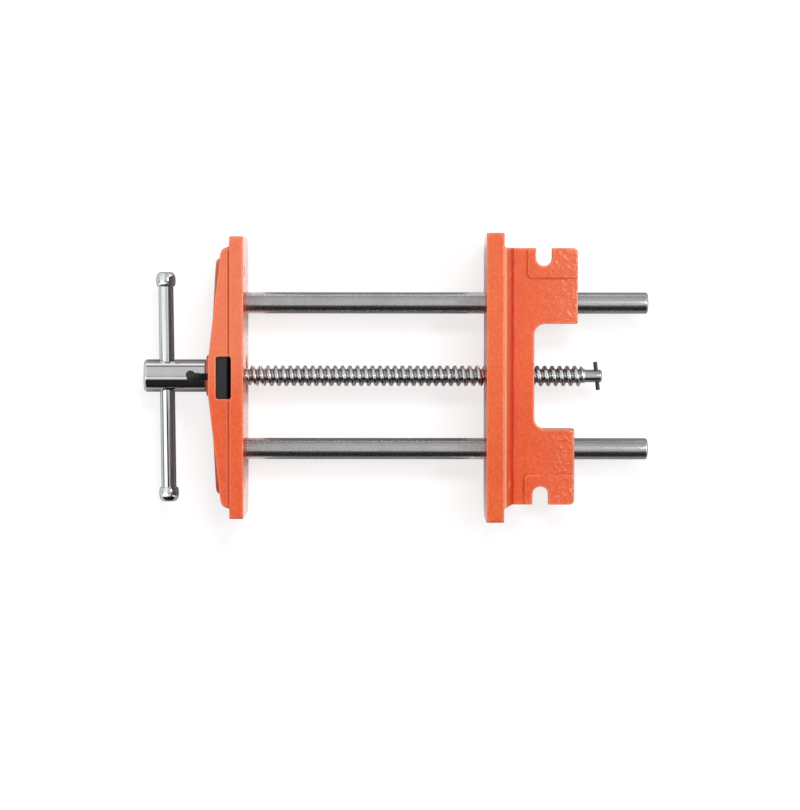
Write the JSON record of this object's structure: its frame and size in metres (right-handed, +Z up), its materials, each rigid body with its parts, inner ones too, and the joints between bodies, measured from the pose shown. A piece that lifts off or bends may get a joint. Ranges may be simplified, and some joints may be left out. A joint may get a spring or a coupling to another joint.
{
  "type": "woodworking vise",
  "caption": "Front vise for a woodworking bench: orange cast jaws on guide rods, a lead screw with a sliding handle bar, and a raising bench dog.",
  "frame": {"origin": "on the lead screw's axis, in the plane of the rear jaw's gripping face", "axes": "+X along the screw from the handle to the bench, +Y across the jaws to the left, +Z up"},
  "size_m": [0.3197, 0.18, 0.076],
  "materials": {
    "enamel_rear": "glossy orange enamel on cast iron",
    "enamel_front": "glossy orange enamel on cast iron",
    "ground_rod": "satin ground steel",
    "chrome": "bright chrome plate",
    "bright_thread": "bright rolled thread, lightly oiled",
    "plain_steel": "plain turned steel",
    "black_steel": "black oxide on steel"
  },
  "bodies": {
    "bench_half": {"rear_jaw": "enamel_rear", "screw_nut": "plain_steel", "nut_set_screw": "black_steel"},
    "sliding_half": {"front_jaw": "enamel_front", "guide_rod_left": "ground_rod", "guide_rod_right": "ground_rod", "rod_pin_left": "plain_steel", "rod_pin_right": "plain_steel", "thrust_washer": "plain_steel"},
    "screw": {"handle_hub": "chrome", "lead_screw": "bright_thread", "hub_pin": "plain_steel", "stop_pin": "black_steel", "retaining_ring": "black_steel"},
    "bar": {"handle_bar": "chrome", "handle_cap_left": "chrome", "handle_cap_right": "chrome"},
    "dog": {"bench_dog": "black_steel"},
    "dog_clamp": {"dog_screw": "black_steel", "dog_screw_bar": "black_steel"}
  },
  "joints": [
    {"name": "screw_turn", "type": "hinge", "parent": "sliding_half", "child": "screw", "pos_m": [-0.19, 0, 0], "axis": [1, 0, 0], "range_deg": [-2834.5, 11421.5]},
    {"name": "jaw_slide", "type": "slide", "parent": "bench_half", "child": "sliding_half", "axis": [1, 0, 0], "range_m": [-0.0374, 0.1507]},
    {"name": "bar_slide", "type": "slide", "parent": "screw", "child": "bar", "axis": [-0.014, 0.9999, 0], "range_m": [-0.0458, 0.06]},
    {"name": "dog_slide", "type": "slide", "parent": "sliding_half", "child": "dog", "axis": [0, 0, 1], "range_m": [0, 0.013]},
    {"name": "dog_screw_turn", "type": "hinge", "parent": "sliding_half", "child": "dog_clamp", "pos_m": [-0.18, 0, 0.028], "axis": [1, 0, 0], "range_deg": [-720, 0]}
  ],
  "couplings": [
    {"joint": "jaw_slide", "follows": "screw_turn", "m_per_rad": 0.00075599}
  ]
}
